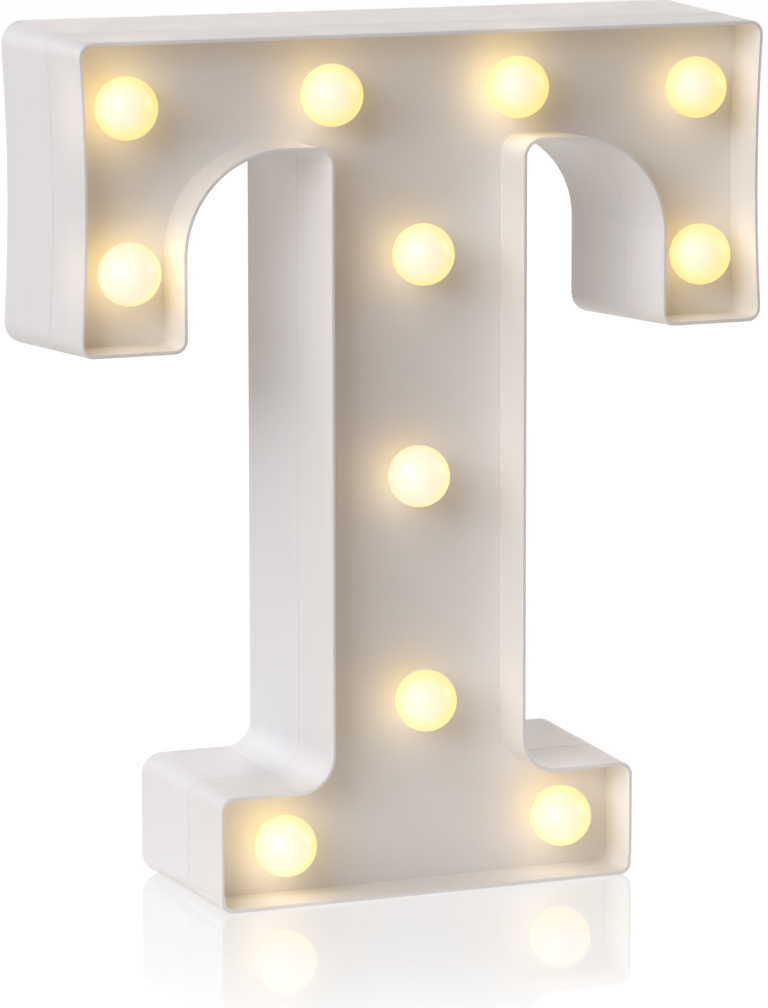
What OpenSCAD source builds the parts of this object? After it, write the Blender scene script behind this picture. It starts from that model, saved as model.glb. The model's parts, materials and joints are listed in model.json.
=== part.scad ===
// Free-standing light-up letter T: a two-part moulded shell with globe bulbs, cells, a switch and a door.
// Millimetres. X runs across the letter, the front faces -Y, Z is up and the feet stand on Z = 0.

/* [Letter outline, at the back edge] */
// Overall height
letter_h = 220; // [210:1:230]
// Width across the top bar
bar_w = 188.6; // [184:0.2:194]
// Height of the top bar above the arches
bar_h = 32.5; // [31:0.5:35]
// Width of the stem
stem_w = 57.4; // [56:0.2:60]
// Width across the feet
foot_w = 117.5; // [112:0.5:124]
// Height of the feet
foot_h = 31.4; // [30:0.2:34]
// Width of each hanging serif
serif_w = 32; // [31:0.5:34]
// Height of each serif, down from the top
serif_h = 80.9; // [78:0.1:84]
// Depth from rim to back
letter_d = 50; // [49:0.5:54]
// How far the outline draws in from back to rim
draft = 2.1; // [1.5:0.1:2.4]
// Radius of the large arc where an arch meets its serif
arch_r = 23.2; // [20:0.2:26]
// Radius of the small arc where an arch meets the stem
stem_fillet = 2; // [1:0.5:4]
// Radius of the arc where the stem meets a foot
foot_fillet = 6.8; // [5:0.2:9]
// Radius of the outer corners
corner_r = 5.5; // [5:0.1:6.5]
// How far the ends of the bar bow inwards
end_bow = 1.1; // [0.5:0.1:1.5]

/* [Walls] */
// Thickness of the front rim
rim_wall = 0.9; // [0.8:0.1:1.4]
// Chamfer on the rim's outer edge
rim_chamfer = 0.3; // [0.1:0.05:0.4]
// Depth of the lit tray, from rim to floor
tray_d = 14; // [12:0.5:15]
// Thickness of the tray's floor
floor_t = 2; // [1.6:0.1:2.4]
// Depth of the front shell, from rim to joint
joint_d = 20; // [19:0.5:22]
// Width of the groove at the joint
joint_groove = 0.15; // [0.1:0.05:0.4]
// Thickness of the front shell's skirt round the lip
skirt_wall = 1; // [0.8:0.1:1.1]
// Room between the skirt and the lip
lip_gap = 0.1; // [0.05:0.05:0.2]
// Thickness of the back shell's side walls
side_wall = 2; // [1.8:0.1:2.4]
// Thickness of the back wall
back_wall = 2; // [1.8:0.1:2.2]

/* [Bulbs] */
// Diameter of a globe
bulb_d = 15.5; // [14.5:0.1:16.5]
// How far a globe stands proud of the rim
bulb_proud = 3.25; // [2.5:0.25:4]
// Thickness of a globe's skin
bulb_wall = 1.1; // [0.9:0.1:1.4]
// How far the bulbs on the bar sit below the bar's middle
bar_bulb_lower = 1.55; // [0.5:0.05:2.5]
// How far the outer bulbs on the bar sit inwards from the serifs' middle
bar_bulb_shift = 1.3; // [0:0.1:2]
// Distance of the inner bulbs on the bar from the centre line
bar_bulb_inner = 25.2; // [22:0.2:30]
// Height of a serif's bulb above the serif's lower end
serif_bulb_rise = 20.9; // [19:0.1:23]
// How far a serif's bulb sits inwards from the serif's middle
serif_bulb_shift = 0.8; // [0:0.1:2]
// Drop from the top edge to the upper bulb on the stem
stem_bulb_drop = 58; // [54:0.5:62]
// Height of the lowest bulb on the stem
stem_bulb_low = 49; // [46:0.5:54]
// How far the bulbs on the feet sit below the feet's middle
foot_bulb_lower = 0.3; // [0:0.1:1]
// Distance of a foot's bulb from the foot's end
foot_bulb_inset = 20.75; // [17:0.25:25]

/* [Cells and door] */
// Diameter of a cell
cell_d = 14.2; // [13.8:0.1:14.5]
// Length of a cell over its button
cell_l = 50.2; // [49.5:0.1:50.5]
// Height of the underside of the cell bay
bay_z = 70; // [69:0.5:72]
// Room for a spring and two contact plates, beyond the cell
bay_spare = 6.8; // [6.5:0.1:7.2]
// Thickness of the bay's walls
bay_wall = 1.6; // [1.4:0.1:1.8]
// Width of the battery door
door_w = 36; // [35:0.5:37]
// Thickness of the battery door
door_t = 2; // [1.8:0.1:2.2]
// Room round the door in its seat
door_gap = 0.3; // [0.25:0.05:0.4]
// Radius of the door's rounded hinge edge
hinge_r = 1.6; // [1.5:0.05:1.7]
// Radius of the door's hinge pins
hinge_pin_r = 0.9; // [0.8:0.05:1]
// Radial room round a hinge pin
hinge_fit = 0.05; // [0.03:0.01:0.08]

/* [Switch] */
// Height of the switch
switch_z = 45; // [44:0.5:47]
// Travel of the slider
switch_travel = 4; // [3:0.5:4]
// Width of the slider's knob
knob_w = 3.6; // [3:0.2:4]
// Room round the slider
slider_gap = 0.4; // [0.3:0.05:0.5]

/* [Hanging and screws] */
// Radius of the keyhole's entry
keyhole_r = 4.5; // [4:0.25:5]
// Width of the keyhole's slot
keyhole_slot = 4.2; // [3.6:0.2:4.8]
// Rise of the keyhole's slot
keyhole_rise = 8; // [7:0.5:9]
// Radius of a shell screw's shank
screw_r = 1.4; // [1.2:0.1:1.5]
// Radius of a shell screw's head
screw_head_r = 2.6; // [2.4:0.1:2.7]

/* [Hidden] */
$fn = 64;
bow_fn = 1440;
eps = 0.01;
over = 1;

// Depth positions: the origin is under the middle of everything, the bulbs included
rim_y = bulb_proud - (letter_d + bulb_proud) / 2;
back_y = rim_y + letter_d;
floor_y = rim_y + tray_d;
floor_back_y = floor_y + floor_t;
joint_y = rim_y + joint_d;
inner_back_y = back_y - back_wall;
boss_reach = 4;
boss_y = joint_y + boss_reach;

// Outline positions at the back edge
top_z = letter_h;
arch_z = letter_h - bar_h;
serif_z = letter_h - serif_h;
serif_x = bar_w / 2 - serif_w;
serif_mid = bar_w / 2 - serif_w / 2;
web_bite = 0.02;
sole_r = 3;
sole_top = 8;
sole_inset = 0.3;
bow_half = serif_h / 2 - corner_r - over;
bow_r = (bow_half * bow_half + end_bow * end_bow) / (2 * end_bow);
bow_x = bar_w / 2 + bow_r - end_bow;
bow_z = letter_h - serif_h / 2;

// Walls of the back shell's lip
lip_out = skirt_wall + lip_gap;
lip_clear = 0.3;

// Even places of the bulbs, counted along the bar, the serif row, the stem and the feet
bar_bulb_z = letter_h - bar_h / 2 - bar_bulb_lower;
bar_bulb_outer = serif_mid - bar_bulb_shift;
serif_bulb_z = serif_z + serif_bulb_rise;
serif_bulb_x = serif_mid - serif_bulb_shift;
stem_bulb_top = letter_h - stem_bulb_drop;
stem_bulb_mid = (stem_bulb_top + stem_bulb_low) / 2;
foot_bulb_z = foot_h / 2 - foot_bulb_lower;
foot_bulb_x = foot_w / 2 - foot_bulb_inset;
PLACES = [
  [-bar_bulb_outer, bar_bulb_z],
  [-bar_bulb_inner, bar_bulb_z],
  [bar_bulb_inner, bar_bulb_z],
  [bar_bulb_outer, bar_bulb_z],
  [-serif_bulb_x, serif_bulb_z],
  [0, stem_bulb_top],
  [serif_bulb_x, serif_bulb_z],
  [0, stem_bulb_mid],
  [0, stem_bulb_low],
  [-foot_bulb_x, foot_bulb_z],
  [foot_bulb_x, foot_bulb_z],
];

// How far each bulb sits off its even place, across and up
STRAYS = [
  [-1.4, -0.8],
  [0.8, 0.5],
  [0.7, 0.8],
  [-1.5, -1],
  [-0.4, 0.9],
  [0.2, 0.1],
  [-0.5, -1.4],
  [-1, 0.8],
  [0.9, -0.1],
  [0.6, -0.5],
  [0.5, 0.5],
];
BULBS = PLACES + STRAYS;
bulb_r = bulb_d / 2;
bulb_y = rim_y - bulb_proud + bulb_r;
collar_r = 4.1;
neck_r = 3.6;
neck_fit = 0.1;
bead_r = 3.9;
bead_w = 0.8;
neck_reach = 1.6;
neck_end_y = floor_back_y + neck_reach;
led_r = 2.5;
led_flange_r = 3;
led_flange_t = 1;
led_fit = 0.05;
led_drop = 2;
led_tip_y = bulb_y + led_drop;
lead_r = 0.25;
lead_half = 1.27;

// Bosses that the shell screws join
front_boss_r = 3.2;
back_boss_r = 3.9;

// Wires: one layer for each pole
wire_r = 0.6;
crimp_half = 0.8;
wire_room = 0.5;
plus_step = 2.9;
minus_step = 5.9;
plus_y = neck_end_y + plus_step;
minus_y = neck_end_y + minus_step;
lead_touch = 0.02;
trunk_x = back_boss_r + wire_r + wire_room;
drop_x = serif_mid + back_boss_r + crimp_half + 2 * wire_room;
low_step = 5;
wire_low_z = switch_z - low_step;

// Cell bay
cell_r = cell_d / 2;
cell_gap = 0.5;
cell_x = cell_r + cell_gap / 2;
bay_w = 2 * (cell_x + cell_r + cell_gap);
bay_h = cell_l + bay_spare;
bay_top = bay_z + bay_h;
door_y = back_y - door_t;
cell_y = door_y - cell_gap - cell_r;
bay_y = cell_y - cell_r - cell_gap;
plate_t = 0.5;
plate_w = 9;
plate_l = 10;
tab_w = 3;
tab_l = 3;
tab_fit = 0.15;
button_r = 2.75;
button_h = 1;
tab_y = cell_y + plate_t / 2;
tab_z = bay_top + bay_wall + tab_l + crimp_half + lead_touch;
feed_y = bay_y - bay_wall - crimp_half - wire_room;

// Battery door
door_lap = 2.5;
door_bottom = bay_z - door_lap;
door_top = bay_top + door_lap;
hinge_y = back_y - hinge_r;
hinge_z = door_top - hinge_r;
pin_l = 2;
frame_t = 1.5;
frame_w = 4;
scoop_r = 7;
scoop_d = 1.2;

// Switch
switch_on = switch_travel / 2;
switch_pad_t = 1.8;
switch_pad_h = 14;
pocket_w = 14;
pocket_h = 8;
pocket_r = 2;
pocket_y = inner_back_y;
frame_y = inner_back_y - switch_pad_t;
frame_sheet = 0.6;
switch_body_w = 14;
switch_body_h = 7.4;
switch_body_d = 6;
slider_base_w = 6;
slider_base_h = 5;
slider_base_t = 1.6;
slider_skin = 0.4;
knob_h = 3.4;
knob_short = 0.3;
ear_screw_r = 0.9;
ear_head_r = 1.6;
ear_head_t = 1.2;
ear_hold = 1.3;
ear_room = 0.9;
ear_edge = 2.5;
ear_x = switch_body_w / 2 + ear_head_r + ear_room;
ear_w = 2 * (ear_x + ear_edge);
switch_pad_edge = 1;
switch_pad_w = ear_w + 2 * switch_pad_edge;
terminal_pitch = 4;
terminal_w = 1.2;
terminal_t = 0.5;
terminal_l = 4;
terminal_y = frame_y - frame_sheet - switch_body_d - terminal_l - crimp_half - lead_touch;

// Shell screws and their bosses
bar_boss_x = (bar_bulb_inner + bar_bulb_outer) / 2;
bar_boss_drop = 8.8;
serif_boss_z = (bar_bulb_z + serif_bulb_z) / 2;
stem_boss_inset = 8.2;
stem_boss_x = stem_w / 2 - stem_boss_inset;
stem_boss_step = 12;
foot_boss_drop = 4.6;
BOSSES = [
  [-bar_boss_x, letter_h - bar_boss_drop],
  [bar_boss_x, letter_h - bar_boss_drop],
  [-serif_mid, serif_boss_z],
  [serif_mid, serif_boss_z],
  [-stem_boss_x, door_top + stem_boss_step],
  [stem_boss_x, door_top + stem_boss_step],
  [0, foot_h - foot_boss_drop],
];
screw_fit = 0.05;
head_room = 0.3;
seat_t = 4;
head_t = 2;
shank_l = 10;
cross_w = 0.8;
cross_l = 3.2;
cross_d = 1;
seat_y = boss_y + seat_t;
bite_y = seat_y - shank_l;

// Springs: one unbroken tube each
spring_wire_r = 0.35;
spring_turns = 3.5;
spring_rings = 8;
spring_sides = 6;
spring_base_r = 4.2;
spring_tip_r = 2.9;
spring_touch = 0.05;
spring_h = bay_spare - 2 * plate_t - 2 * spring_wire_r - 2 * spring_touch;

// Inset of the drafted outline at a depth
function inset(y) = draft * (back_y - y) / letter_d;

// Frustum along the depth
module post(x, z, ya, ra, yb, rb) {
  translate([x, ya, z])
    rotate([-90, 0, 0])
      cylinder(r1 = ra, r2 = rb, h = yb - ya);
}

// The same frustum run on past both ends, for cutting
module cutter(x, z, ya, ra, yb, rb) {
  step = (rb - ra) / (yb - ya) * over;
  post(x, z, ya - over, ra - step, yb + over, rb + step);
}

// Straight round hole or rod along the depth
module rod_y(x, z, r, ya, yb) {
  post(x, z, ya, r, yb, r);
}

// Box between two corners
module box(a, b) {
  translate(a)
    cube(b - a);
}

// Slab along X whose top and bottom are drafted
module slab_x(x0, x1, z0, z1, ya, ia, yb, ib) {
  translate([x0, 0, 0])
    rotate([90, 0, 90])
      linear_extrude(x1 - x0)
        polygon([[ya, z0 + ia], [yb, z0 + ib], [yb, z1 - ib], [ya, z1 - ia]]);
}

// Slab along Z whose two sides are drafted
module slab_z(x0, x1, z0, z1, ya, ia, yb, ib) {
  translate([0, 0, z0])
    linear_extrude(z1 - z0)
      polygon([[x0 + ia, ya], [x1 - ia, ya], [x1 - ib, yb], [x0 + ib, yb]]);
}

// Drafted block with round corners
module block(x0, x1, z0, z1, ya, ia, yb, ib) {
  slab_x(x0 + corner_r, x1 - corner_r, z0, z1, ya, ia, yb, ib);
  slab_z(x0, x1, z0 + corner_r, z1 - corner_r, ya, ia, yb, ib);
  for (x = [x0 + corner_r, x1 - corner_r])
    for (z = [z0 + corner_r, z1 - corner_r])
      post(x, z, ya, corner_r - ia, yb, corner_r - ib);
}

// Web that rounds an inside corner at (x, z), open towards (sx, sz), and meets its walls at a slight angle
module web(x, z, sx, sz, r, ya, ia, yb, ib) {
  deep = max(ia, ib) + over;
  side = r + deep;
  difference() {
    translate([sx > 0 ? x - deep : x - r, ya, sz > 0 ? z - deep : z - r])
      cube([side, yb - ya, side]);
    cutter(x + sx * r, z + sz * r, ya, r + ia + web_bite, yb, r + ib + web_bite);
  }
}

// Flat sole under the drafted feet
module sole(ya, yb, wall) {
  half = foot_w / 2 - draft - sole_inset - wall;
  r = sole_r - wall;
  translate([0, yb, 0])
    rotate([90, 0, 0])
      linear_extrude(yb - ya) {
        translate([-half, wall + r])
          square([2 * half, sole_top - wall - r]);
        translate([r - half, wall])
          square([2 * (half - r), sole_top - wall]);
        for (x = [r - half, half - r])
          translate([x, wall + r])
            circle(r);
      }
}

// The whole letter, inset by ia at depth ya and by ib at depth yb, with its sole raised by wall
module letter(ya, ia, yb, ib, wall) {
  difference() {
    union() {
      block(-bar_w / 2, bar_w / 2, arch_z, top_z, ya, ia, yb, ib);
      block(-foot_w / 2, foot_w / 2, 0, foot_h, ya, ia, yb, ib);
      slab_z(-stem_w / 2, stem_w / 2, foot_h / 2, arch_z + bar_h / 2, ya, ia, yb, ib);
      sole(ya, yb, wall);
      for (m = [0, 1])
        mirror([m, 0, 0]) {
          block(serif_x, bar_w / 2, serif_z, top_z, ya, ia, yb, ib);
          web(stem_w / 2, foot_h, 1, 1, foot_fillet, ya, ia, yb, ib);
          web(stem_w / 2, arch_z, 1, -1, stem_fillet, ya, ia, yb, ib);
          web(serif_x, arch_z, -1, -1, arch_r, ya, ia, yb, ib);
        }
    }
    for (m = [0, 1])
      mirror([m, 0, 0])
        cutter(bow_x, bow_z, ya, bow_r + ia, yb, bow_r + ib, $fn = bow_fn);
  }
}

// The letter with its own draft, inset evenly by wall
module drafted(ya, yb, wall) {
  letter(ya, inset(ya) + wall, yb, inset(yb) + wall, wall);
}

// Front shell: rim, tray, floor and the bosses behind it
module front_shell() {
  bevel_y = rim_y + rim_chamfer;
  color("white")
    difference() {
      union() {
        difference() {
          union() {
            letter(rim_y, draft + rim_chamfer, bevel_y, inset(bevel_y), 0);
            drafted(bevel_y, joint_y, 0);
          }
          letter(rim_y - over, draft + rim_wall, floor_y, draft + rim_wall, rim_wall);
          drafted(floor_back_y, joint_y + over, skirt_wall);
        }
        for (b = BOSSES)
          rod_y(b[0], b[1], front_boss_r, floor_y + floor_t / 2, boss_y);
      }
      for (b = BULBS)
        rod_y(b[0], b[1], neck_r + neck_fit, floor_y - over, floor_back_y + over);
      for (b = BOSSES)
        rod_y(b[0], b[1], screw_r + screw_fit, bite_y - over / 2, boss_y + over);
    }
}

// Keyhole for a wall screw
module keyhole() {
  z = bar_bulb_z - keyhole_rise / 2;
  rod_y(0, z, keyhole_r, inner_back_y - over, back_y + over);
  rod_y(0, z + keyhole_rise, keyhole_slot / 2, inner_back_y - over, back_y + over);
  box([-keyhole_slot / 2, inner_back_y - over, z], [keyhole_slot / 2, back_y + over, z + keyhole_rise]);
}

// Walls of the cell bay, still solid
module bay_block() {
  half = bay_w / 2 + bay_wall;
  edge = door_w / 2 + frame_w;
  box([-half, bay_y - bay_wall, bay_z - bay_wall], [half, inner_back_y + eps, bay_top + bay_wall]);
  box(
    [-edge, door_y - frame_t, door_bottom - frame_w],
    [edge, inner_back_y + eps, door_top + frame_w]
  );
}

// Everything cut for the cells, the door and its hinge
module bay_cut() {
  half = door_w / 2 + door_gap;
  box([-bay_w / 2, bay_y, bay_z], [bay_w / 2, back_y + over, bay_top]);
  box([-half, door_y, door_bottom - door_gap], [half, back_y + over, hinge_z]);
  box([-half, hinge_y, hinge_z - eps], [half, back_y + over, door_top + door_gap]);
  translate([-half, hinge_y, hinge_z])
    rotate([0, 90, 0])
      cylinder(r = hinge_r + door_gap, h = 2 * half);
  for (m = [0, 1])
    mirror([m, 0, 0])
      translate([half - over, hinge_y, hinge_z])
        rotate([0, 90, 0])
          cylinder(r = hinge_pin_r + hinge_fit, h = pin_l + over);
  for (x = [-cell_x, cell_x])
    box(
      [x - tab_w / 2 - tab_fit, cell_y - tab_fit, bay_top - over],
      [x + tab_w / 2 + tab_fit, cell_y + plate_t + tab_fit, bay_top + bay_wall + over]
    );
  translate([0, back_y - scoop_d, door_bottom])
    rotate([-90, 0, 0])
      cylinder(r = scoop_r, h = scoop_d + over);
}

// Round-cornered pocket for the knob, its window and the frame screws' holes
module switch_cut() {
  window = knob_w + switch_travel + 2 * slider_gap;
  for (x = [-1, 1])
    for (z = [-1, 1])
      rod_y(
        x * (pocket_w / 2 - pocket_r),
        switch_z + z * (pocket_h / 2 - pocket_r),
        pocket_r,
        pocket_y,
        back_y + over
      );
  box(
    [-pocket_w / 2 + pocket_r, pocket_y, switch_z - pocket_h / 2],
    [pocket_w / 2 - pocket_r, back_y + over, switch_z + pocket_h / 2]
  );
  box(
    [-pocket_w / 2, pocket_y, switch_z - pocket_h / 2 + pocket_r],
    [pocket_w / 2, back_y + over, switch_z + pocket_h / 2 - pocket_r]
  );
  box(
    [-window / 2, frame_y - over, switch_z - knob_h / 2 - slider_gap],
    [window / 2, pocket_y + over, switch_z + knob_h / 2 + slider_gap]
  );
  for (x = [-ear_x, ear_x])
    rod_y(x, switch_z, ear_screw_r + screw_fit, frame_y - over, frame_y + ear_hold + head_room);
}

// Back shell: walls, lip, back wall, bay, bosses and switch pad
module back_shell() {
  groove_y = joint_y + joint_groove;
  lip_y = floor_back_y + lip_clear;
  color("whitesmoke")
    difference() {
      union() {
        difference() {
          union() {
            drafted(groove_y, back_y, 0);
            drafted(lip_y, groove_y + eps, lip_out);
          }
          drafted(lip_y - over, inner_back_y, side_wall);
        }
        bay_block();
        for (b = BOSSES)
          rod_y(b[0], b[1], back_boss_r, boss_y, inner_back_y + eps);
        box(
          [-switch_pad_w / 2, frame_y, switch_z - switch_pad_h / 2],
          [switch_pad_w / 2, inner_back_y + eps, switch_z + switch_pad_h / 2]
        );
      }
      bay_cut();
      switch_cut();
      keyhole();
      for (b = BOSSES) {
        rod_y(b[0], b[1], screw_r + screw_fit, boss_y - over, seat_y + over);
        rod_y(b[0], b[1], screw_head_r + head_room, seat_y, back_y + over);
      }
    }
}

// Globe bulb: hollow sphere, collar on the floor, neck through it and a snap bead behind it
module bulb(b) {
  bore_r = led_flange_r + led_fit;
  color("lightyellow")
    difference() {
      union() {
        translate([b[0], bulb_y, b[1]])
          sphere(bulb_r);
        rod_y(b[0], b[1], collar_r, bulb_y, floor_y);
        rod_y(b[0], b[1], neck_r, bulb_y, neck_end_y);
        rod_y(b[0], b[1], bead_r, floor_back_y + neck_fit, floor_back_y + neck_fit + bead_w);
      }
      translate([b[0], bulb_y, b[1]])
        sphere(bulb_r - bulb_wall);
      rod_y(b[0], b[1], bore_r, bulb_y, neck_end_y + over);
    }
}

// Light-emitting diode: dome, barrel and flange
module led(b) {
  color("gold") {
    translate([b[0], led_tip_y + led_r, b[1]])
      sphere(led_r);
    rod_y(b[0], b[1], led_r, led_tip_y + led_r, neck_end_y);
    rod_y(b[0], b[1], led_flange_r, neck_end_y - led_flange_t, neck_end_y);
  }
}

// The two leads of every diode, each up to its own wire
module led_leads() {
  color("silver")
    for (b = BULBS) {
      rod_y(b[0], b[1] + lead_half, lead_r, neck_end_y, plus_y - crimp_half - lead_touch);
      rod_y(b[0], b[1] - lead_half, lead_r, neck_end_y, minus_y - crimp_half - lead_touch);
    }
}

// Round bar between two points
module bar(a, b, r) {
  v = b - a;
  translate(a)
    rotate([0, acos(v[2] / norm(v)), atan2(v[1], v[0])])
      cylinder(r = r, h = norm(v));
}

// Square crimp that holds a joint or a bend of a wire
module crimp(p) {
  translate(p)
    cube(2 * crimp_half, center = true);
}

// Wire along points, with a crimp at each
module wire(points) {
  for (p = points)
    crimp(p);
  for (i = [1 : len(points) - 1])
    bar(points[i - 1], points[i], wire_r, $fn = 24);
}

// Wire tree of one pole: bar, serif drops, trunk and feet, with a short link to each bulb
module wire_tree(y, dz, trunk) {
  row_z = bar_bulb_z + dz;
  serif_row_z = serif_bulb_z + dz;
  foot_row_z = foot_bulb_z + dz;
  wire([
    [-serif_bulb_x, y, serif_row_z],
    [-drop_x, y, serif_row_z],
    [-drop_x, y, row_z],
    [drop_x, y, row_z],
    [drop_x, y, serif_row_z],
    [serif_bulb_x, y, serif_row_z],
  ]);
  wire([[trunk, y, row_z], [trunk, y, foot_row_z]]);
  wire([[-foot_bulb_x, y, foot_row_z], [foot_bulb_x, y, foot_row_z]]);
  for (z = [stem_bulb_top, stem_bulb_mid, stem_bulb_low])
    wire([[0, y, z + dz], [trunk, y, z + dz]]);
  for (i = [0 : len(BULBS) - 1])
    wire([[PLACES[i][0], y, PLACES[i][1] + dz], [BULBS[i][0], y, BULBS[i][1] + dz]]);
}

module positive_wire() {
  color("firebrick") {
    wire_tree(plus_y, lead_half, -trunk_x);
    wire([
      [0, terminal_y, switch_z],
      [-trunk_x, terminal_y - trunk_x, wire_low_z],
      [-trunk_x, plus_y, wire_low_z],
    ]);
  }
}

module negative_wire() {
  color("dimgray") {
    wire_tree(minus_y, -lead_half, trunk_x);
    wire([
      [cell_x, tab_y, tab_z],
      [trunk_x, tab_y - trunk_x, tab_z],
      [trunk_x, minus_y, tab_z],
    ]);
  }
}

// From the cells' positive tab down the front of the bay to the switch
module feed_wire() {
  color("firebrick")
    wire([
      [-cell_x, tab_y, tab_z],
      [-cell_x, feed_y, tab_z],
      [-cell_x, feed_y, switch_z + switch_pad_h / 2],
      [-terminal_pitch, terminal_y, switch_z],
    ]);
}

// Cell with its button up
module cell() {
  cylinder(r = cell_r, h = cell_l - button_h);
  cylinder(r = button_r, h = cell_l);
}

module battery_1() {
  color("slategray")
    translate([-cell_x, cell_y, bay_top - plate_t - cell_l])
      cell();
}

module battery_2() {
  color("slategray")
    translate([cell_x, cell_y, bay_z + plate_t + cell_l])
      rotate([180, 0, 0])
        cell();
}

// Centre line of a spring, drawn in towards its tip
spring_n = spring_turns * spring_rings;
function spring_point(i) =
  let (t = i / spring_n, a = 360 * spring_turns * t, r = spring_base_r + (spring_tip_r - spring_base_r) * t)
    [r * cos(a), r * sin(a), spring_wire_r + spring_touch + spring_h * t];

// One ring of the tube round the centre line
function spring_ring(i) =
  let (p = spring_point(i), a = 360 * spring_turns * i / spring_n)
    [
      for (k = [0 : spring_sides - 1])
        let (b = 360 * k / spring_sides)
          p + spring_wire_r * [cos(a) * cos(b), sin(a) * cos(b), sin(b)]
    ];

// Least gap of the tube to itself, between points at least three fifths of a turn apart
spring_gap = min([
  for (i = [0 : spring_n])
    for (j = [i + ceil(0.6 * spring_rings) : 1 : spring_n])
      norm(spring_point(i) - spring_point(j)) - 2 * spring_wire_r
]);
echo(spring_least_gap_mm = spring_gap);

module spring() {
  points = [for (i = [0 : spring_n]) each spring_ring(i)];
  walls = [
    for (i = [0 : spring_n - 1])
      for (k = [0 : spring_sides - 1])
        let (a = i * spring_sides, b = a + spring_sides, n = (k + 1) % spring_sides)
          [a + k, b + k, b + n, a + n]
  ];
  last = spring_n * spring_sides;
  start = [for (k = [0 : spring_sides - 1]) k];
  end = [for (k = [spring_sides - 1 : -1 : 0]) last + k];
  polyhedron(points, concat(walls, [start], [end]), convexity = 8);
}

module battery_spring_1() {
  color("silver")
    translate([-cell_x, cell_y, bay_z + plate_t])
      spring();
}

module battery_spring_2() {
  color("silver")
    translate([cell_x, cell_y, bay_top - plate_t])
      rotate([180, 0, 0])
        spring();
}

// Contact plate against the bay's top, with a tab through it
module tab_plate(x) {
  color("silver") {
    box(
      [x - plate_w / 2, cell_y - plate_l / 2, bay_top - plate_t],
      [x + plate_w / 2, cell_y + plate_l / 2, bay_top]
    );
    box(
      [x - tab_w / 2, cell_y, bay_top - plate_t],
      [x + tab_w / 2, cell_y + plate_t, bay_top + bay_wall + tab_l]
    );
  }
}

module plus_plate() {
  tab_plate(-cell_x);
}

module minus_plate() {
  tab_plate(cell_x);
}

module bridge_plate() {
  half = cell_x + plate_w / 2;
  color("silver")
    box([-half, cell_y - plate_l / 2, bay_z], [half, cell_y + plate_l / 2, bay_z + plate_t]);
}

// Door with a rounded hinge edge and two pins
module battery_door() {
  half = door_w / 2;
  color("white") {
    box([-half, door_y, door_bottom], [half, back_y, hinge_z]);
    translate([-half, hinge_y, hinge_z])
      rotate([0, 90, 0])
        cylinder(r = hinge_r, h = door_w);
    for (m = [0, 1])
      mirror([m, 0, 0])
        translate([half - eps, hinge_y, hinge_z])
          rotate([0, 90, 0])
            cylinder(r = hinge_pin_r, h = pin_l);
  }
}

// Switch housing with the slider's channel
module switch_body() {
  y = frame_y - frame_sheet;
  channel_w = slider_base_w + switch_travel + 2 * slider_gap;
  channel_h = slider_base_h + 2 * slider_gap;
  channel_d = slider_base_t + 2 * slider_skin;
  color("dimgray")
    difference() {
      box(
        [-switch_body_w / 2, y - switch_body_d, switch_z - switch_body_h / 2],
        [switch_body_w / 2, y, switch_z + switch_body_h / 2]
      );
      box(
        [-channel_w / 2, y - channel_d, switch_z - channel_h / 2],
        [channel_w / 2, y + over, switch_z + channel_h / 2]
      );
    }
}

// Sheet frame with ears, against the pad
module switch_frame() {
  window = knob_w + switch_travel + 2 * slider_gap;
  color("silver")
    difference() {
      box(
        [-ear_w / 2, frame_y - frame_sheet, switch_z - switch_body_h / 2],
        [ear_w / 2, frame_y, switch_z + switch_body_h / 2]
      );
      box(
        [-window / 2, frame_y - frame_sheet - over, switch_z - knob_h / 2 - slider_gap],
        [window / 2, frame_y + over, switch_z + knob_h / 2 + slider_gap]
      );
      for (x = [-ear_x, ear_x])
        rod_y(x, switch_z, ear_screw_r + screw_fit, frame_y - frame_sheet - over, frame_y + over);
    }
}

// Slider, drawn in the on position
module switch_slider() {
  base_y = frame_y - frame_sheet - slider_skin;
  color("black") {
    box(
      [switch_on - slider_base_w / 2, base_y - slider_base_t, switch_z - slider_base_h / 2],
      [switch_on + slider_base_w / 2, base_y, switch_z + slider_base_h / 2]
    );
    box(
      [switch_on - knob_w / 2, base_y - eps, switch_z - knob_h / 2],
      [switch_on + knob_w / 2, back_y - knob_short, switch_z + knob_h / 2]
    );
  }
}

module switch_terminals() {
  y = frame_y - frame_sheet - switch_body_d;
  color("silver")
    for (i = [-1 : 1])
      box(
        [i * terminal_pitch - terminal_w / 2, y - terminal_l, switch_z - terminal_t / 2],
        [i * terminal_pitch + terminal_w / 2, y, switch_z + terminal_t / 2]
      );
}

module switch_screws() {
  y = frame_y - frame_sheet;
  color("silver")
    for (x = [-ear_x, ear_x]) {
      rod_y(x, switch_z, ear_head_r, y - ear_head_t, y);
      rod_y(x, switch_z, ear_screw_r, y - eps, frame_y + ear_hold);
    }
}

// Shell screw with a cross recess
module shell_screw(b) {
  head_y = seat_y + head_t;
  color("silver")
    difference() {
      union() {
        rod_y(b[0], b[1], screw_head_r, seat_y, head_y);
        rod_y(b[0], b[1], screw_r, bite_y, seat_y + eps);
      }
      box(
        [b[0] - cross_l / 2, head_y - cross_d, b[1] - cross_w / 2],
        [b[0] + cross_l / 2, head_y + over, b[1] + cross_w / 2]
      );
      box(
        [b[0] - cross_w / 2, head_y - cross_d, b[1] - cross_l / 2],
        [b[0] + cross_w / 2, head_y + over, b[1] + cross_l / 2]
      );
    }
}

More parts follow.
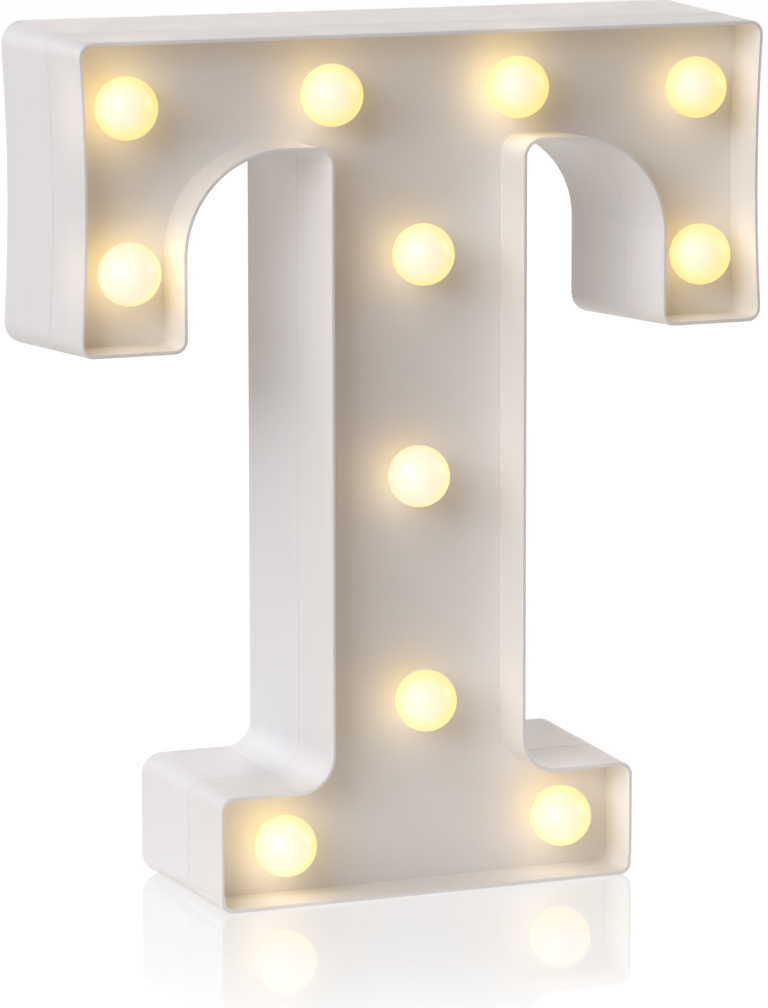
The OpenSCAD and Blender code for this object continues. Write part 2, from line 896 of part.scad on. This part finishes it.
front_shell();
back_shell();
for (i = [1 : len(BULBS)]) {
  bulb(BULBS[i - 1]);
  led(BULBS[i - 1]);
}
led_leads();
positive_wire();
negative_wire();
feed_wire();
battery_1();
battery_2();
battery_spring_1();
battery_spring_2();
plus_plate();
minus_plate();
bridge_plate();
battery_door();
switch_body();
switch_frame();
switch_slider();
switch_terminals();
switch_screws();
for (i = [1 : len(BOSSES)])
  shell_screw(BOSSES[i - 1]);
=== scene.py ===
"""Looks of the light-up letter: camera, light, stage and the finish of every piece, in metres."""

import json
import math

import bpy
from mathutils import Euler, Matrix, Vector


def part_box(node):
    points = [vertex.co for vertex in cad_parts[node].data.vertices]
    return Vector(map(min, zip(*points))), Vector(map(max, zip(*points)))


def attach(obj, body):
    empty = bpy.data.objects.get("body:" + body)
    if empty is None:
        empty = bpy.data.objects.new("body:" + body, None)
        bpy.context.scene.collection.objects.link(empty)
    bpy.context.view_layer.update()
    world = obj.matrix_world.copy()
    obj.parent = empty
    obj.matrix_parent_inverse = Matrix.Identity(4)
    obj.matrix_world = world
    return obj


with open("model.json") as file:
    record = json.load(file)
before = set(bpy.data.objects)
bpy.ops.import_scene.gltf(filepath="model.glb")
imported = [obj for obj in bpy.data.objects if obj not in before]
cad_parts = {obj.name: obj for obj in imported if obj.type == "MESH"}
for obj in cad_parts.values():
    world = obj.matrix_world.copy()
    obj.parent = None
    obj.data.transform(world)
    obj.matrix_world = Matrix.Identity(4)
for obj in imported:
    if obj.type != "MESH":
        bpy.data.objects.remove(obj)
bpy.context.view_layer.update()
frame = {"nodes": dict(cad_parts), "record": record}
NODES = frame["nodes"]
SLOT_OF = {part["node"]: part["material_slot"] for part in frame["record"]["subparts"]}
BULBS = [name for name in NODES if name.startswith("bulb_")]

# Places taken from the frame
ORIGIN = Vector((0, 0, 0))
SHELL_LOW, SHELL_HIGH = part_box("front_shell")
BULB_RADIUS = (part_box("bulb_1")[1].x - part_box("bulb_1")[0].x) / 2


def bulb_centre(name):
    """Middle of a globe, whose tip is the lowest Y of its node."""
    low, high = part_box(name)
    return Vector(((low.x + high.x) / 2, low.y + BULB_RADIUS, (low.z + high.z) / 2))


CENTRES = {name: bulb_centre(name) for name in BULBS}

# Camera: the photograph's view, as angles, a distance and a lens
PHOTO_SIZE = (768, 1008)
FOCAL_PIXELS = 5412.4
AXIS_PIXEL = (389.7, 449.9)
VIEW_AZIMUTH = math.radians(23.27)
VIEW_ELEVATION = math.radians(8.78)
VIEW_DISTANCE = 1.3738
VIEW_TARGET = Vector((0, 0.0016, 0.110))
VIEW_ROLL = math.radians(0.05)
SENSOR = 36
CLIP_END = 50


def add_camera():
    """Places the camera where the photograph was taken."""
    data = bpy.data.cameras.new("camera")
    data.sensor_width = SENSOR
    data.lens = FOCAL_PIXELS / PHOTO_SIZE[1] * SENSOR
    data.shift_x = (PHOTO_SIZE[0] / 2 - AXIS_PIXEL[0]) / PHOTO_SIZE[1]
    data.shift_y = (AXIS_PIXEL[1] - PHOTO_SIZE[1] / 2) / PHOTO_SIZE[1]
    data.clip_end = CLIP_END
    camera = bpy.data.objects.new("camera", data)
    flat = math.cos(VIEW_ELEVATION)
    sideways = -math.sin(VIEW_AZIMUTH) * flat
    forwards = -math.cos(VIEW_AZIMUTH) * flat
    away = Vector((sideways, forwards, math.sin(VIEW_ELEVATION)))
    camera.location = VIEW_TARGET + VIEW_DISTANCE * away
    camera.rotation_euler = Euler((math.pi / 2 - VIEW_ELEVATION, VIEW_ROLL, -VIEW_AZIMUTH))
    bpy.context.scene.collection.objects.link(camera)
    bpy.context.scene.camera = camera


# Range of a noise that is spread over a finish
NOISE_RANGE = (0.3, 0.7)


class Shader:
    """A material's node tree, with short ways to add nodes and to join them."""

    def __init__(self, name):
        self.material = bpy.data.materials.new(name)
        self.material.use_nodes = True
        self.tree = self.material.node_tree
        self.main = self.tree.nodes["Principled BSDF"]
        self.output = self.tree.nodes["Material Output"]

    def add(self, kind, **settings):
        node = self.tree.nodes.new(kind)
        for key, value in settings.items():
            setattr(node, key, value)
        return node

    def feed(self, socket, value):
        """Joins an output to a socket, or sets the socket's own value."""
        if isinstance(value, bpy.types.NodeSocket):
            self.tree.links.new(value, socket)
        else:
            socket.default_value = value

    def maths(self, operation, a, b=0.0):
        node = self.add("ShaderNodeMath", operation=operation)
        self.feed(node.inputs[0], a)
        self.feed(node.inputs[1], b)
        return node.outputs[0]

    def place(self):
        """Coordinates in the model's frame, in metres."""
        return self.add("ShaderNodeTexCoord").outputs["Object"]

    def depth(self):
        """The Y coordinate in the model's frame."""
        node = self.add("ShaderNodeSeparateXYZ")
        self.feed(node.inputs[0], self.place())
        return node.outputs["Y"]

    def stretched(self, scale):
        node = self.add("ShaderNodeMapping")
        self.feed(node.inputs["Vector"], self.place())
        node.inputs["Scale"].default_value = scale
        return node.outputs["Vector"]

    def noise(self, scale, detail=2.0, stretch=(1, 1, 1)):
        """Cloudy noise, with its scale in cycles per metre."""
        node = self.add("ShaderNodeTexNoise")
        self.feed(node.inputs["Vector"], self.stretched(stretch))
        node.inputs["Scale"].default_value = scale
        node.inputs["Detail"].default_value = detail
        return node.outputs["Fac"]

    def spread(self, value, low, high, out_low, out_high, kind="LINEAR"):
        """Maps a range of values to another, and stops at its ends."""
        node = self.add("ShaderNodeMapRange", interpolation_type=kind)
        for socket, number in zip(node.inputs, (value, low, high, out_low, out_high)):
            self.feed(socket, number)
        return node.outputs["Result"]

    def mix(self, share, a, b):
        node = self.add("ShaderNodeMix", data_type="RGBA")
        self.feed(node.inputs["Factor"], share)
        self.feed(node.inputs["A"], (*a, 1) if isinstance(a, tuple) else a)
        self.feed(node.inputs["B"], (*b, 1) if isinstance(b, tuple) else b)
        return node.outputs["Result"]

    def scaled(self, colour, level):
        node = self.add("ShaderNodeVectorMath", operation="SCALE")
        node.inputs[0].default_value = colour
        self.feed(node.inputs["Scale"], level)
        return node.outputs["Vector"]

    def summed(self, a, b):
        node = self.add("ShaderNodeVectorMath", operation="ADD")
        self.feed(node.inputs[0], a)
        self.feed(node.inputs[1], b)
        return node.outputs["Vector"]

    def distance(self, point):
        node = self.add("ShaderNodeVectorMath", operation="DISTANCE")
        self.feed(node.inputs[0], self.place())
        node.inputs[1].default_value = point
        return node.outputs["Value"]

    def facing(self, point):
        """How squarely the surface faces a point: 1 straight at it, 0 from the side and behind."""
        way = self.add("ShaderNodeVectorMath", operation="SUBTRACT")
        way.inputs[0].default_value = point
        self.feed(way.inputs[1], self.place())
        unit = self.add("ShaderNodeVectorMath", operation="NORMALIZE")
        self.feed(unit.inputs[0], way.outputs["Vector"])
        product = self.add("ShaderNodeVectorMath", operation="DOT_PRODUCT")
        self.feed(product.inputs[0], unit.outputs["Vector"])
        self.feed(product.inputs[1], self.add("ShaderNodeTexCoord").outputs["Normal"])
        return self.maths("MAXIMUM", product.outputs["Value"], 0)

    def base(self, colour):
        self.feed(self.main.inputs["Base Color"], colour)

    def roughness(self, noise, middle, sway):
        """Roughness that sways about a middle value with a noise."""
        rough = self.spread(noise, *NOISE_RANGE, middle - sway, middle + sway)
        self.feed(self.main.inputs["Roughness"], rough)

    def emission(self, colour, strength):
        self.feed(self.main.inputs["Emission Color"], colour)
        self.feed(self.main.inputs["Emission Strength"], strength)

    def bump(self, height, depth):
        node = self.add("ShaderNodeBump")
        node.inputs["Distance"].default_value = depth
        self.feed(node.inputs["Height"], height)
        self.feed(self.main.inputs["Normal"], node.outputs["Normal"])


# Moulded plastic of the shells and the door
FRONT_PALE = (0.87, 0.855, 0.845)
FRONT_SHADE = (0.85, 0.83, 0.815)
FRONT_ROUGHNESS = 0.40
BACK_PALE = (0.87, 0.865, 0.87)
BACK_SHADE = (0.84, 0.83, 0.84)
BACK_ROUGHNESS = 0.36
MOTTLE_SCALE = 26
MOTTLE_SHARE = 0.55
FLOW_SHARE = 0.45
FLOW_STRETCH = (9, 420, 9)
TONE_RANGE = (0.35, 0.65)
SATIN_SCALE = 240
SATIN_SWAY = 0.05
PEEL_SCALE = 1500
PEEL_DEPTH = 0.00004


def moulded_plastic(name, pale, shade, roughness):
    """Satin moulded plastic: a soft mottle, faint flow lines round the letter and a fine orange peel."""
    s = Shader(name)
    mottle = s.maths("MULTIPLY", s.noise(MOTTLE_SCALE, 3), MOTTLE_SHARE)
    flow = s.maths("MULTIPLY", s.noise(1, 2, stretch=FLOW_STRETCH), FLOW_SHARE)
    tone = s.spread(s.maths("ADD", mottle, flow), *TONE_RANGE, 0, 1)
    s.base(s.mix(tone, pale, shade))
    s.roughness(s.noise(SATIN_SCALE, 3), roughness, SATIN_SWAY)
    s.bump(s.noise(PEEL_SCALE, 2), PEEL_DEPTH)
    return s


# Painted light on the front shell, as emission of a plastic that is no lamp: a painted warm halo round
# each bulb, stronger round four of them, and a painted bluish light on the walls that face a bulb
TRAY_DEPTH = 0.014
PAINTED_HALO_COLOUR = (0.10, 0.09, 0.085)
PAINTED_EXTRA_HALO_COLOUR = (0.32, 0.245, 0.09)
BULBS_WITH_EXTRA_PAINTED_HALO = ("bulb_1", "bulb_3", "bulb_5", "bulb_10")
GLOW_REACH = 0.0248
GLOW_FALL = 2.5
# Moves each painted halo a little to the right, which lightens the shadow that the bulb casts there
GLOW_SHIFT = Vector((0.0010, 0, 0.0002))
PAINTED_WALL_LIGHT_COLOUR = (0.075, 0.10, 0.14)
WALL_REACH = 0.034


def front_plastic_and_painted_light():
    """The front shell's plastic, with painted light: a halo round each bulb and a bluish light on the
    walls that face one.
    """
    s = moulded_plastic("front_plastic_and_painted_light", FRONT_PALE, FRONT_SHADE, FRONT_ROUGHNESS)
    glow, bright, beside = 0.0, 0.0, 0.0
    for name, centre in CENTRES.items():
        # Painted halo: warm light painted round the bulb, with more painted round some bulbs
        near = s.spread(s.distance(centre + GLOW_SHIFT), BULB_RADIUS, GLOW_REACH, 1, 0)
        halo = s.maths("POWER", near, GLOW_FALL)
        glow = s.maths("ADD", glow, halo)
        if name in BULBS_WITH_EXTRA_PAINTED_HALO:
            bright = s.maths("ADD", bright, halo)
        # Painted bluish light on the wall sides that face this bulb
        close = s.spread(s.distance(centre), BULB_RADIUS, WALL_REACH, 1, 0, "SMOOTHSTEP")
        beside = s.maths("ADD", beside, s.maths("MULTIPLY", close, s.facing(centre)))
    # The painted wall light stays in the front half of the tray's depth and fades out towards the tray
    # floor
    behind_rim = s.maths("SUBTRACT", s.depth(), SHELL_LOW.y)
    wall = s.spread(behind_rim, TRAY_DEPTH / 2, TRAY_DEPTH, 1, 0, "SMOOTHSTEP")
    painted_halos = s.summed(s.scaled(PAINTED_HALO_COLOUR, glow), s.scaled(PAINTED_EXTRA_HALO_COLOUR, bright))
    painted_wall_light = s.scaled(PAINTED_WALL_LIGHT_COLOUR, s.maths("MULTIPLY", beside, wall))
    # Both painted lights go into the emission
    s.emission(s.summed(painted_halos, painted_wall_light), 1)
    return s


# Globes: where the white core lies, and the colours away from it, as shares of the globe's width
CORE_WAY = Vector((-0.55, -0.82, 0.16)).normalized()
BULB_STOPS = (
    (0.0, (0.98, 0.72, 0.65)),
    (0.14, (0.96, 0.68, 0.57)),
    (0.32, (0.94, 0.66, 0.505)),
    (0.40, (0.93, 0.67, 0.455)),
    (0.48, (0.92, 0.68, 0.33)),
    (0.80, (0.88, 0.62, 0.16)),
)
# How far along the stops a bulb starts: below zero it is whiter than the others, above zero yellower
WARMTH = {
    "bulb_1": 0.05,
    "bulb_2": 0.05,
    "bulb_3": 0.09,
    "bulb_4": 0.12,
    "bulb_5": -0.16,
    "bulb_7": 0.11,
    "bulb_8": -0.14,
    "bulb_9": 0.05,
    "bulb_10": -0.07,
}
GLOBE_COLOUR = (0.50, 0.40, 0.23, 1)
GLOBE_ROUGHNESS = 0.36
GLOBE_SWAY = 0.06
FROST_SCALE = 900
FROST_SHARE = 0.06
FROST_MIDDLE = 0.5
GLOBE_SATIN_SCALE = 500
GLOBE_PEEL_SCALE = 2500
GLOBE_PEEL_DEPTH = 0.00002
DARK_FROM = 1.0
DARK_TO = 1.4


def bulb_plastic(name):
    """Frosted globe, white where its diode shines through, warmer away from there, dark behind."""
    s = Shader(name + "_glow")
    centre = CENTRES[name]
    warmth = WARMTH.get(name, 0)
    core = s.distance(centre + CORE_WAY * BULB_RADIUS)
    away = s.spread(core, 0, 2 * BULB_RADIUS, warmth, 1 + warmth)
    frost = s.maths("SUBTRACT", s.noise(FROST_SCALE, 2), FROST_MIDDLE)
    ramp = s.add("ShaderNodeValToRGB")
    s.feed(ramp.inputs["Fac"], s.maths("ADD", away, s.maths("MULTIPLY", frost, FROST_SHARE)))
    ramp.color_ramp.elements.remove(ramp.color_ramp.elements[1])
    ramp.color_ramp.elements[0].color = (*BULB_STOPS[0][1], 1)
    for place, colour in BULB_STOPS[1:]:
        ramp.color_ramp.elements.new(place).color = (*colour, 1)
    dark_from = centre.y + DARK_FROM * BULB_RADIUS
    dark_to = centre.y + DARK_TO * BULB_RADIUS
    s.emission(ramp.outputs["Color"], s.spread(s.depth(), dark_from, dark_to, 1, 0))
    s.base(GLOBE_COLOUR)
    s.roughness(s.noise(GLOBE_SATIN_SCALE, 2), GLOBE_ROUGHNESS, GLOBE_SWAY)
    s.bump(s.noise(GLOBE_PEEL_SCALE, 2), GLOBE_PEEL_DEPTH)
    return s.material


RESIN_PALE = (0.92, 0.80, 0.50)
RESIN_SHADE = (0.86, 0.72, 0.40)
RESIN_SCALE = 800
RESIN_ROUGHNESS = 0.15


def resin():
    """Warm resin of a diode."""
    s = Shader("resin")
    s.base(s.mix(s.noise(RESIN_SCALE), RESIN_PALE, RESIN_SHADE))
    s.main.inputs["Roughness"].default_value = RESIN_ROUGHNESS
    return s.material


STEEL_PALE = (0.78, 0.78, 0.77)
STEEL_SHADE = (0.62, 0.62, 0.62)
STEEL_ROUGHNESS = 0.32
STEEL_SWAY = 0.08
DRAWN_STRETCH = (260, 2600, 2600)
DRAWN_DEPTH = 0.00001


def tinned_steel():
    """Bright plated steel with fine drawn marks."""
    s = Shader("tinned_steel")
    marks = s.noise(1, 3, stretch=DRAWN_STRETCH)
    s.base(s.mix(marks, STEEL_PALE, STEEL_SHADE))
    s.main.inputs["Metallic"].default_value = 1
    s.roughness(marks, STEEL_ROUGHNESS, STEEL_SWAY)
    s.bump(marks, DRAWN_DEPTH)
    return s.material


# Coloured plastic of the wires, the cells and the switch
FLECK_SCALE = 700
DULL_SCALE = 300
DULL_SWAY = 0.06
GRAIN_SCALE = 2200
GRAIN_DEPTH = 0.00003
FILM_DEPTH = 0.000003


def dull_plastic(name, pale, shade, roughness, grain=GRAIN_DEPTH):
    """Plain coloured plastic with a fine grain."""
    s = Shader(name)
    s.base(s.mix(s.noise(FLECK_SCALE, 3), pale, shade))
    s.roughness(s.noise(DULL_SCALE), roughness, DULL_SWAY)
    s.bump(s.noise(GRAIN_SCALE, 2), grain)
    return s.material


def back_plastic(name):
    """The back shell's plastic, which the door shares."""
    return moulded_plastic(name, BACK_PALE, BACK_SHADE, BACK_ROUGHNESS).material


def red_wire():
    return dull_plastic("red_wire", (0.55, 0.03, 0.02), (0.42, 0.02, 0.02), 0.45)


def black_wire():
    return dull_plastic("black_wire", (0.03, 0.03, 0.03), (0.02, 0.02, 0.02), 0.45)


def cell_sleeve():
    """Plain dark sleeve of a cell, smooth film."""
    return dull_plastic("cell_sleeve", (0.10, 0.11, 0.13), (0.07, 0.075, 0.09), 0.32, FILM_DEPTH)


def switch_black():
    return dull_plastic("switch_black", (0.025, 0.025, 0.026), (0.015, 0.015, 0.016), 0.5)


def finishes():
    """One material for each of the record's slots, apart from the bulbs."""
    return {
        "shell_front": front_plastic_and_painted_light().material,
        "shell_back": back_plastic("back_plastic"),
        "door": back_plastic("door_plastic"),
        "led": resin(),
        "tinned_steel": tinned_steel(),
        "red_wire": red_wire(),
        "black_wire": black_wire(),
        "cell": cell_sleeve(),
        "switch_black": switch_black(),
    }


def dress(by_slot):
    """Gives every node its finish."""
    for name, node in NODES.items():
        node.data.materials.clear()
        node.data.materials.append(bulb_plastic(name) if name in BULBS else by_slot[SLOT_OF[name]])


# Printed words on the back, one on each side of the switch
MARK_SIZE = 0.0042
MARK_OUT = 0.0135
INK_RISE = 0.00006
INK_EDGE = 0.00001
READ_FROM_BEHIND = (math.pi / 2, 0, math.pi)


def add_mark(word, side, finish):
    """A word printed on the back wall, on one side of the switch."""
    data = bpy.data.curves.new("mark_" + word.lower(), "FONT")
    data.body = word
    data.size = MARK_SIZE
    data.align_x = "CENTER"
    data.align_y = "CENTER"
    data.extrude = INK_RISE - INK_EDGE
    data.bevel_depth = INK_EDGE
    data.materials.append(finish)
    mark = bpy.data.objects.new(data.name, data)
    low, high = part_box("switch_frame")
    mark.location = (low + high) / 2
    mark.location.x += side * MARK_OUT
    mark.location.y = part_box("back_shell")[1].y
    mark.rotation_euler = READ_FROM_BEHIND
    bpy.context.scene.collection.objects.link(mark)
    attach(mark, "letter")


def add_marks(finish):
    """The letter is lit, so the slider stands on the side marked ON."""
    slider_low, slider_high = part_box("switch_slider")
    lit_side = math.copysign(1, slider_low.x + slider_high.x)
    add_mark("ON", lit_side, finish)
    add_mark("OFF", -lit_side, finish)


# Floor: what the camera sees, the mirror image, and the light that it throws back at the letter
FLOOR_HALF = 8.0
FLOOR_CORNERS = ((-1, -1), (1, -1), (1, 1), (-1, 1))
FLOOR_BASE = (0.12, 0.12, 0.12, 1)
FLOOR_SEEN = (0.985, 0.985, 0.985)
MIRROR_SHARE = 0.38
MIRROR_FROM = 0.05
MIRROR_REACH = 0.21
MIRROR_ROUGHNESS = 0.05
BOUNCE_NEAR = (0.64, 0.56, 0.465)
BOUNCE_FAR = (0.09, 0.05, 0.015)
BOUNCE_FROM = 0.1
BOUNCE_REACH = 0.7


def mirror_fade(s):
    """How strongly the floor mirrors at a point: most at the feet, none some way in front of them."""
    return s.spread(s.distance(ORIGIN), MIRROR_FROM, MIRROR_REACH, MIRROR_SHARE, 0, "SMOOTHSTEP")


def floor_white():
    """White to the camera and in mirror images, with a warm light of its own near the letter."""
    s = Shader("floor_white")
    s.base(FLOOR_BASE)
    s.main.inputs["Specular IOR Level"].default_value = 0
    s.main.inputs["Roughness"].default_value = 1
    rays = s.add("ShaderNodeLightPath").outputs
    seen = s.maths("MAXIMUM", rays["Is Camera Ray"], rays["Is Glossy Ray"])
    seen = s.maths("MAXIMUM", seen, rays["Is Transmission Ray"])
    far = s.spread(s.distance(ORIGIN), BOUNCE_FROM, BOUNCE_REACH, 0, 1)
    s.emission(s.mix(seen, s.mix(far, BOUNCE_NEAR, BOUNCE_FAR), FLOOR_SEEN), 1)
    gloss = s.add("ShaderNodeBsdfGlossy")
    gloss.inputs["Roughness"].default_value = MIRROR_ROUGHNESS
    blend = s.add("ShaderNodeMixShader")
    s.feed(blend.inputs["Fac"], mirror_fade(s))
    s.feed(blend.inputs[1], s.main.outputs["BSDF"])
    s.feed(blend.inputs[2], gloss.outputs["BSDF"])
    s.feed(s.output.inputs["Surface"], blend.outputs["Shader"])
    return s.material


def add_floor():
    """White floor that keeps the letter's shadow and a faint mirror image."""
    mesh = bpy.data.meshes.new("floor")
    corners = [(x * FLOOR_HALF, y * FLOOR_HALF, 0) for x, y in FLOOR_CORNERS]
    mesh.from_pydata(corners, [], [tuple(range(len(corners)))])
    mesh.materials.append(floor_white())
    floor = bpy.data.objects.new("floor", mesh)
    bpy.context.scene.collection.objects.link(floor)


AMBIENT = (0.03, 0.008, 0.004, 1)
WHITE = (1, 1, 1, 1)


def add_world():
    """Even soft light, and white where the camera or a mirror image sees past the floor."""
    world = bpy.data.worlds.new("world")
    world.use_nodes = True
    bpy.context.scene.world = world
    nodes, links = world.node_tree.nodes, world.node_tree.links
    rays = nodes.new("ShaderNodeLightPath").outputs
    seen = rays["Is Camera Ray"]
    for name in ("Is Glossy Ray", "Is Transmission Ray"):
        either = nodes.new("ShaderNodeMath")
        either.operation = "MAXIMUM"
        links.new(seen, either.inputs[0])
        links.new(rays[name], either.inputs[1])
        seen = either.outputs[0]
    level = nodes.new("ShaderNodeMix")
    level.data_type = "RGBA"
    links.new(seen, level.inputs["Factor"])
    level.inputs["A"].default_value = AMBIENT
    level.inputs["B"].default_value = WHITE
    links.new(level.outputs["Result"], nodes["Background"].inputs["Color"])


# Each lamp: where it stands, its width and height, its power in watts and its colour
LAMPS = {
    "key": ((-1.50, -0.70, 1.23), (2.0, 1.5), 26.0, (0.94, 0.955, 1.0)),
    "fill": ((-1.49, -1.23, 0.61), (1.4, 0.8), 9.3, (0.83, 0.89, 1.0)),
    "right": ((1.90, -0.20, 0.71), (1.4, 1.0), 14.4, (1.0, 0.95, 0.89)),
    "back": ((0, 1.94, 0.595), (3.0, 1.2), 8.1, (1.0, 0.86, 0.72)),
    "rear": ((0.1, 2.0, 0.27), (0.8, 0.5), 16, (0.95, 0.98, 1.0)),
}


def add_lamps():
    """Large soft lamps that face the letter."""
    aim = (SHELL_LOW + SHELL_HIGH) / 2
    for name, (place, size, power, colour) in LAMPS.items():
        data = bpy.data.lights.new(name, "AREA")
        data.shape = "RECTANGLE"
        data.size, data.size_y = size
        data.energy = power
        data.color = colour
        lamp = bpy.data.objects.new(name, data)
        lamp.visible_camera = False
        lamp.location = place
        lamp.rotation_euler = (aim - lamp.location).to_track_quat("-Z", "Y").to_euler()
        bpy.context.scene.collection.objects.link(lamp)


add_camera()
slot_finishes = finishes()
dress(slot_finishes)
add_marks(slot_finishes["switch_black"])
add_floor()
add_world()
add_lamps()
bpy.context.scene.view_settings.view_transform = "Standard"
